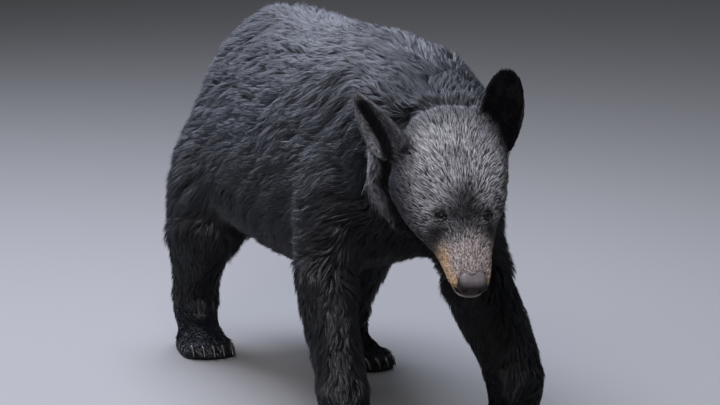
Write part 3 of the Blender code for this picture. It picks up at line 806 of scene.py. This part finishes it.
def growTufts():
    faces, corners = scattered(np.where(bare, 0, 1 / skinBlend["spacing"] ** 2))
    roots = sampled(skinPoints, faces, corners)
    normals = unit(sampled(skinNormals, faces, corners))
    guide = nearestOf(guideRoots + guideNormals * 0.01, roots + normals * 0.01)[0]
    region = mingled(roots, skinWeights[skinTris[faces]].mean(1).argmax(1))
    tuftMarksAndLight = sampled(skinMarksAndLight, faces, corners)
    uv = (skinMap[faces] * corners[:, :, None]).sum(1)
    width = sampled(skinBlend["width"], faces, corners)
    lock = sampled(skinBlend["lock"], faces, corners)
    return region, (roots, normals, guide, tuftMarksAndLight, uv, width, lock)


tuftRegions, tufts = growTufts()
print("tufts:", len(tuftRegions))


def makeCoat(name, regions):
    chosen = np.isin(tuftRegions, [fleshNodes.index(part) for part in regions])
    if name.endswith(("Right", "Left")):
        chosen &= (tufts[0][:, 0] < 0) == name.endswith("Right")
    roots, normals, guide, tuftMarksAndLight, uv, width, lock = (values[chosen] for values in tufts)
    count = len(roots)
    path = guidePaths[guide]
    offset = roots - path[:, 0]
    shorter = dice.uniform(*tuftSet["shorter"], count)
    grip = dice.uniform(*tuftSet["grip"], count)
    reach = lengths(path[:, -1] - path[:, 0])
    stray = dice.normal(size=(count, 3)) * (tuftSet["frizz"] * reach)[:, None]
    strand = dice.random(count)
    width = width * dice.uniform(*tuftSet["wider"], count)
    along = unit(path[:, 2] - path[:, 0])
    side = unit(np.cross(along, normals))
    lean = (offset * side).sum(1) / (0.6 * lock) * tuftSet["round"]
    roll = np.clip(lean, -1.2, 1.2) + dice.normal(0, tuftSet["roll"], count)
    blade = side * np.cos(roll)[:, None] - normals * np.sin(roll)[:, None]
    points, patches = [], []
    rows = np.arange(count)
    for share, across in tuftSet["points"]:
        at = share * shorter * 4
        low = np.minimum(at.astype(int), 3)
        part = (at - low)[:, None]
        spot = path[rows, low] * (1 - part) + path[rows, low + 1] * part
        spot = spot + offset * (1 - grip * share)[:, None] + stray * share**2
        if share == 0:
            spot = spot - normals * tuftSet["sunk"]
        points.append(spot + blade * (width * across)[:, None])
        patches.append(uv + tuftSet["patch"] * np.array((np.sign(across) / 2, share - 0.5)))
    per = len(points)
    points = np.stack(points, 1).reshape(-1, 3)
    points[:, 2] = np.maximum(points[:, 2], 0)
    patches = np.stack(patches, 1).reshape(-1, 2)
    first = rows[:, None] * per
    quads, tips = first + (0, 1, 3, 2), first + (2, 3, 4)
    mesh = meshFrom(name, points, [quads, tips])
    corners = np.concatenate([quads.ravel(), tips.ravel()])
    layer = mesh.uv_layers.new(name="OFBake")
    layer.uv.foreach_set("vector", patches[corners].astype(np.float32).ravel())
    addPointValues(mesh, "along", "FLOAT", np.tile([share for share, _ in tuftSet["points"]], count))
    addPointValues(mesh, "strand", "FLOAT", np.repeat(strand, per))
    addPointValues(mesh, "marksAndLight", "FLOAT_COLOR", np.repeat(tuftMarksAndLight, per, 0))
    piece = newPiece(name, mesh)
    print(name, count, "tufts", len(quads) * 2 + len(tips), "triangles")
    return piece


coats = {name: makeCoat(name, regions) for name, regions in coatPieces.items()}


def linear(code):
    parts = [int(code[at:at + 2], 16) / 255 for at in (1, 3, 5)]
    return tuple(p / 12.92 if p <= 0.04045 else ((p + 0.055) / 1.055) ** 2.4 for p in parts) + (1.0,)


def newMaterial(name):
    made = bpy.data.materials.new(name)
    made.use_nodes = True
    tree = made.node_tree
    place = tree.nodes.new("ShaderNodeTexCoord").outputs["Object"]  # metres from the piece's own origin
    return made, tree, tree.nodes["Principled BSDF"], place


def feed(node, inputs):
    # each input takes a plain value, or the node or socket that feeds it
    for key, value in inputs.items():
        if isinstance(value, bpy.types.Node):
            value = value.outputs[0]
        if isinstance(value, bpy.types.NodeSocket):
            node.id_data.links.new(value, node.inputs[key])
        else:
            node.inputs[key].default_value = value


def addNode(tree, kind, inputs, **settings):
    made = tree.nodes.new("ShaderNode" + kind)
    for key, value in settings.items():
        setattr(made, key, value)
    feed(made, inputs)
    return made


# black bear guard hair: keratin full of dark pigment, each hair paler and greyer over its outer half;
# painted shade makes its root near black, blue-black in the gaps, and a painted sky sheen partly makes its
# tip blue-grey, slate grey on top of the locks
furSet = {
    "root": "#020203", "middle": "#08090c", "tip": "#22252e",
    "silver": ("#0b0b0d", "#e6e7ec"), "tan": ("#84684e", "#ffe2bc"), "taupe": ("#443b3b", "#efe3df"),
    # near black for painted shade and the dark marks of the face
    "darkAndShade": "#030304",
}


def coatColour(tree, place, strand, along, frosting):
    # strand differs from hair to hair, along runs from root to tip, and frosting says which hairs are pale
    marksAndLight = addNode(tree, "Attribute", {}, attribute_name="marksAndLight")
    tan, grizzleAndRimLight, darkAndShade = addNode(tree, "SeparateColor", {0: marksAndLight}).outputs
    # soft patches about 70 mm across
    patches = addNode(tree, "TexNoise", {"Vector": place, "Scale": 14.0, "Detail": 3.0})
    tone = addNode(tree, "Math", {0: strand, 1: 0.55, 2: -0.10}, operation="MULTIPLY_ADD")
    tone = addNode(tree, "Math", {0: tone, 1: patches}, operation="ADD")
    paler = addNode(tree, "Math", {0: along, 1: tone}, operation="MULTIPLY", use_clamp=True)
    body = addNode(tree, "ValToRGB", {0: paler})
    ramp = body.color_ramp.elements
    ramp[0].color = linear(furSet["root"])
    ramp[1].color = linear(furSet["tip"])
    ramp.new(0.4).color = linear(furSet["middle"])
    # tufts of paler and darker hair about 10 mm across
    mottle = addNode(tree, "TexNoise", {"Vector": place, "Scale": 95.0, "Detail": 2.0})
    frost = addNode(tree, "Math", {0: mottle, 1: 0.4, 2: strand}, operation="MULTIPLY_ADD")
    frost = addNode(tree, "MapRange", {0: frost, 1: frosting[0], 2: frosting[1]})
    frost = addNode(tree, "Math", {0: frost, 1: along}, operation="MULTIPLY")
    colour = body.outputs[0]
    # silver over grizzle and painted rim light, taupe over the muzzle's top with its painted sheen, tan over
    # its sides
    for share, kind in ((grizzleAndRimLight, "silver"), (marksAndLight.outputs["Alpha"], "taupe"), (tan, "tan")):
        low, high = (linear(code) for code in furSet[kind])
        hair = addNode(tree, "Mix", {0: frost, 6: low, 7: high}, data_type="RGBA").outputs[2]
        colour = addNode(tree, "Mix", {0: share, 6: colour, 7: hair}, data_type="RGBA").outputs[2]
    # painted shade and the dark marks mixed in last, near black
    dark = {0: darkAndShade, 6: colour, 7: linear(furSet["darkAndShade"])}
    return addNode(tree, "Mix", dark, data_type="RGBA").outputs[2]


def makeFur(name, shine, frosting):
    # guard hair: near-black and satin, each tuft a little different, so the coat shows strand by strand
    made, tree, shader, place = newMaterial(name)
    strand = addNode(tree, "Attribute", {}, attribute_name="strand").outputs["Fac"]
    along = addNode(tree, "Attribute", {}, attribute_name="along").outputs["Fac"]
    feed(shader, {"Base Color": coatColour(tree, place, strand, along, frosting),
                  "Roughness": 0.5, "IOR": 1.55, "Specular IOR Level": shine,
                  "Sheen Weight": 0.08, "Sheen Roughness": 0.4, "Sheen Tint": linear("#aab6cc")})
    return made


def makeHide():
    # skin with its underfur: matt, coloured as the hair over it, its streaks drawn coarse (2 mm) to show
    made, tree, shader, place = newMaterial("bearHide")
    grain = addNode(tree, "TexNoise", {"Vector": place, "Scale": 520.0, "Detail": 4.0})
    streaks = addNode(tree, "MapRange", {0: grain, 1: 0.3, 2: 0.7})
    bump = addNode(tree, "Bump", {"Height": grain, "Strength": 0.5, "Distance": 0.0008})
    feed(shader, {"Base Color": coatColour(tree, place, streaks, 0.28, (0.48, 0.92)), "Normal": bump,
                  "Roughness": 0.8, "IOR": 1.45, "Specular IOR Level": 0.12})
    return made


def makeGrained(name, low, high, scale, relief):
    # a bare surface whose grain shows in its colour and relief, with scale waves in a metre
    made, tree, shader, place = newMaterial(name)
    spread = addNode(tree, "Mapping", {"Vector": place, "Scale": scale})
    grain = addNode(tree, "TexNoise", {"Vector": spread, "Scale": 1.0, "Detail": 3.0})
    tone = {0: grain, 6: linear(low), 7: linear(high)}
    bump = addNode(tree, "Bump", {"Height": grain, "Strength": relief, "Distance": 0.0004})
    feed(shader, {"Base Color": addNode(tree, "Mix", tone, data_type="RGBA").outputs[2], "Normal": bump})
    return made, shader


def makeHorn():
    # claw: dense keratin, dark brown-black, satin, with fine grain 1 mm apart running along it
    made, shader = makeGrained("clawHorn", "#171310", "#3a322b", (900.0, 90.0, 900.0), 0.25)
    feed(shader, {"Roughness": 0.34, "IOR": 1.54})
    return made


def makeBareSkin(name, low, high, shine):
    # bare rim of lids and lips: slightly moist, with the grain of fine skin, about 1.5 mm
    made, shader = makeGrained(name, low, high, (700.0, 700.0, 700.0), 0.3)
    feed(shader, {"Roughness": 0.42, "IOR": 1.42, "Specular IOR Level": shine})
    return made


# an eye's colours, each with where it starts, from 0 in the pupil's middle to 1 at the rim of the ball
eyeLook = {"pupil": (0.22, "#010101"), "inner iris": (0.27, "#0c0604"), "outer iris": (0.52, "#0c0604"),
           "edge": (0.60, "#030201"), "white": (0.66, "#060403")}


def makeEyeGlass():
    # eye: wet cornea over a dark brown iris, so it reads almost black with one sharp highlight
    made, tree, shader, place = newMaterial("wetEye")
    flat = addNode(tree, "VectorMath", {0: place, 1: (1.0, 1.0, 0.0)}, operation="MULTIPLY")
    reach = addNode(tree, "VectorMath", {0: flat}, operation="LENGTH").outputs["Value"]
    share = addNode(tree, "Math", {0: reach, 1: eyeRadius}, operation="DIVIDE")
    rings = addNode(tree, "ValToRGB", {0: share})
    ramp = rings.color_ramp.elements
    stops = list(eyeLook.values())
    ramp[0].position, ramp[1].position = stops[0][0], stops[-1][0]
    for start, _ in stops[1:-1]:
        ramp.new(start)
    for stop, (_, code) in zip(ramp, stops):
        stop.color = linear(code)
    feed(shader, {"Base Color": rings, "Roughness": 0.15, "IOR": 1.38, "Specular IOR Level": 0.25,
                  "Coat Weight": 0.6, "Coat Roughness": 0.03, "Coat IOR": 1.34})
    return made


def makeNoseLeather():
    # rhinarium: bare pebbled skin, near black and moist in front, with a painted highlight making its roof
    # pale grey
    made, tree, shader, place = newMaterial("noseLeather")
    pebbles = addNode(tree, "TexVoronoi", {"Vector": place, "Scale": 800.0})  # 1.25 mm across
    broad = addNode(tree, "TexNoise", {"Vector": place, "Scale": 120.0, "Detail": 3.0})  # 8 mm
    height = addNode(tree, "SeparateXYZ", {0: place}).outputs[2]
    # painted highlight: the pad paler grey higher up its roof, where light falls
    roof = addNode(tree, "MapRange", {0: height, 1: 0.0090, 2: 0.0165})
    moist, roofHighlight = (
        addNode(tree, "Mix", {0: broad, 6: linear(low), 7: linear(high)}, data_type="RGBA").outputs[2]
        for low, high in (("#0c0a0a", "#1a1616"), ("#484344", "#757071"))
    )
    colour = addNode(tree, "Mix", {0: roof, 6: moist, 7: roofHighlight}, data_type="RGBA").outputs[2]
    bump = addNode(tree, "Bump", {"Height": pebbles, "Strength": 0.5, "Distance": 0.0005})
    feed(shader, {"Base Color": colour, "Normal": bump, "Roughness": 0.46, "IOR": 1.42,
                  "Specular IOR Level": 0.3, "Coat Weight": 0.12, "Coat Roughness": 0.25})
    return made


# each kind of hair: its shine, where in the spread of hairs the pale ones begin and end, and its pieces
hairSet = {
    "blackNeckHair": (0.11, (0.0, 1.15), ("coatNeck",)),
    "grizzledFaceHair": (0.12, (0.51, 0.91), ("coatHead", "coatMuzzle")),
    "mattEarHair": (0.06, (0.15, 1.45), ("coatEars",)),
    "blackGuardHair": (0.32, (0.48, 0.92), ()),  # all the rest
}
hairOf = {piece: kind for kind, (_, _, pieces) in hairSet.items() for piece in pieces}
hairs = {kind: makeFur(kind, shine, frosting) for kind, (shine, frosting, _) in hairSet.items()}
hide, horn, eyeGlass, noseLeather = makeHide(), makeHorn(), makeEyeGlass(), makeNoseLeather()
lidSkin = makeBareSkin("lidSkin", "#020202", "#0b0908", 0.15)
# the lip's pale tone is partly pale hair on the lip and chin, partly a painted rim light along the mouth;
# the lips themselves are black
lipSkin = makeBareSkin("lipSkin", "#6f6662", "#bdb3ad", 0.35)


def addPiece(name, builder, material, place, node):
    # a small piece that stands for one node of the frame
    mesh = bpy.data.meshes.new(name)
    builder.to_mesh(mesh)
    builder.free()
    mesh.shade_smooth()
    mesh.materials.clear()
    mesh.materials.append(material)
    piece = newPiece(name, mesh)
    piece.matrix_world = place
    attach(piece, "root")
    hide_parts(node)
    return piece


gazeSet = {"way": (0.52, 0.66, 0.52), "cornea": 0.0005}


def makeEye(name):
    # a whole eyeball with a slightly raised cornea, turned so that its own +Z is the gaze
    builder = bmesh.new()
    bmesh.ops.create_uvsphere(builder, u_segments=36, v_segments=24, radius=eyeRadius)
    for vert in builder.verts:
        reach = math.hypot(vert.co.x, vert.co.y) / eyeRadius
        if vert.co.z > 0:
            vert.co.z += gazeSet["cornea"] * max(0, 1 - (reach / 0.6) ** 2)
    addPiece(eyeNames[name], builder, eyeGlass, eyeFrame(name, gazeSet["way"]), name)


def makeNose():
    # a blunt pad: flat front, two comma nostrils running out to the sides, a groove down the middle
    builder = bmesh.new()
    bmesh.ops.create_uvsphere(builder, u_segments=112, v_segments=72, radius=1)
    across, deep = noseSet["half"]
    for vert in builder.verts:
        angle = math.atan2(vert.co.z, vert.co.x)
        corner = (abs(math.cos(angle)) ** 3 + abs(math.sin(angle)) ** 3) ** (1 / 3)
        flat = math.hypot(vert.co.x, vert.co.z) ** 0.8 / corner  # squarer than a ball
        rise = math.sin(angle) * flat
        x = math.cos(angle) * flat * across
        y = math.copysign(abs(vert.co.y) ** 0.8, vert.co.y) * deep
        z = rise * noseSet["above" if rise > 0 else "below"]
        x *= 1 - 0.30 * max(0, -rise) - 0.10 * max(0, rise)  # narrower below, and a little above
        y -= noseSet["roofBack"] * max(0, rise) ** 1.5
        if y > -0.002:
            spotX, spotZ = noseSet["nostril"]
            wideX, wideZ = noseSet["nostrilSize"]
            hole = math.exp(-(((abs(x) - spotX) / wideX) ** 2 + ((z - spotZ) / wideZ) ** 2) ** 1.5)
            slant, high = noseSet["slit"]
            slit = bell(z - spotZ - slant * (abs(x) - spotX), high) * (abs(x) > spotX)
            y -= noseSet["nostrilDeep"] * max(hole, 0.5 * slit)
            y -= noseSet["groove"][1] * bell(x, noseSet["groove"][0]) * (z < 0.008)
        vert.co = (x, y, z)
    place = headMatrix @ Matrix.Translation(Vector(headSet["nose"]) + Vector(noseSet["seat"]))
    addPiece("nosePad", builder, noseLeather, place, "nose")


def makeClaws():
    # each claw keeps its line and is rounded off by subdivision
    for name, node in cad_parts.items():
        if not name.startswith("claw"):
            continue
        builder = bmesh.new()
        builder.from_mesh(node.data)
        bmesh.ops.remove_doubles(builder, verts=builder.verts, dist=1e-6)
        bmesh.ops.join_triangles(builder, faces=builder.faces, angle_face_threshold=math.radians(40),
                                 angle_shape_threshold=math.radians(60))
        claw = addPiece(name + "_horn", builder, horn, Matrix(), name)
        rounder = claw.modifiers.new("rounder", "SUBSURF")
        rounder.levels = rounder.render_levels = 2


for name in eyeNames:
    makeEye(name)
makeNose()
makeClaws()
for name, piece in coats.items():
    piece.data.materials.append(hairs[hairOf.get(name, "blackGuardHair")])
    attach(piece, "root")
for material in (hide, lidSkin, lipSkin):
    bearSkin.data.materials.append(material)
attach(bearSkin, "root")
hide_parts(*fleshNodes)
print("eyes, nose and claws in place")

studioSet = {
    "azimuth": -20, "elevation": 10.5, "distance": 7.5, "lens": 202.5,
    "aim": (-0.0741, -0.1571, 0.0525),  # from the middle of the bear's box
    "floor": 30,  # half its width
    "lights": {  # place, size, watts, colour
        "overhead": ((-0.2, 1.0, 3.2), 2.4, 290, "#e4eaff"),
        "front": ((-1.7, -2.9, 3.0), 1.6, 190, "#fbf8ff"),
        "side": ((-3.2, 0.6, 2.4), 2.0, 30, "#eef0ff"),
        "behind": ((-1.2, 3.6, 2.6), 2.0, 90, "#e0e8ff"),
    },
}


def makeStudio():
    middle = (cadBox[0] + cadBox[1]) / 2
    mesh = bpy.data.meshes.new("floor")
    half = studioSet["floor"]
    corners = [(x * half, y * half, 0) for x, y in ((-1, -1), (1, -1), (1, 1), (-1, 1))]
    mesh.from_pydata(corners, [], [(0, 1, 2, 3)])
    floor = newPiece("floor", mesh)
    made, _, shader, _ = newMaterial("paleFloor")
    feed(shader, {"Base Color": linear("#6e6d6b"), "Roughness": 0.85})
    floor.data.materials.append(made)
    for name, (spot, size, power, colour) in studioSet["lights"].items():
        data = bpy.data.lights.new(name, "AREA")
        data.size, data.energy, data.color = size, power, linear(colour)[:3]
        lamp = newPiece(name, data)
        lamp.location = spot
        lamp.rotation_euler = (middle - Vector(spot)).to_track_quat("-Z", "Y").to_euler()
    world = bpy.data.worlds.new("studio")
    bpy.context.scene.world = world
    world.use_nodes = True
    feed(world.node_tree.nodes["Background"], {"Color": linear("#e8ecf2"), "Strength": 0.16})
    turn, rise = math.radians(studioSet["azimuth"]), math.radians(studioSet["elevation"])
    back = Vector((math.sin(turn) * math.cos(rise), -math.cos(turn) * math.cos(rise), math.sin(rise)))
    data = bpy.data.cameras.new("camera")
    data.sensor_width, data.lens, data.clip_end = 36, studioSet["lens"], 100
    camera = newPiece("camera", data)
    camera.location = middle + Vector(studioSet["aim"]) + back * studioSet["distance"]
    camera.rotation_mode = "QUATERNION"
    camera.rotation_quaternion = (-back).to_track_quat("-Z", "Y")
    bpy.context.scene.camera = camera
    bpy.context.scene.view_settings.view_transform = "Standard"


makeStudio()
print("studio ready")
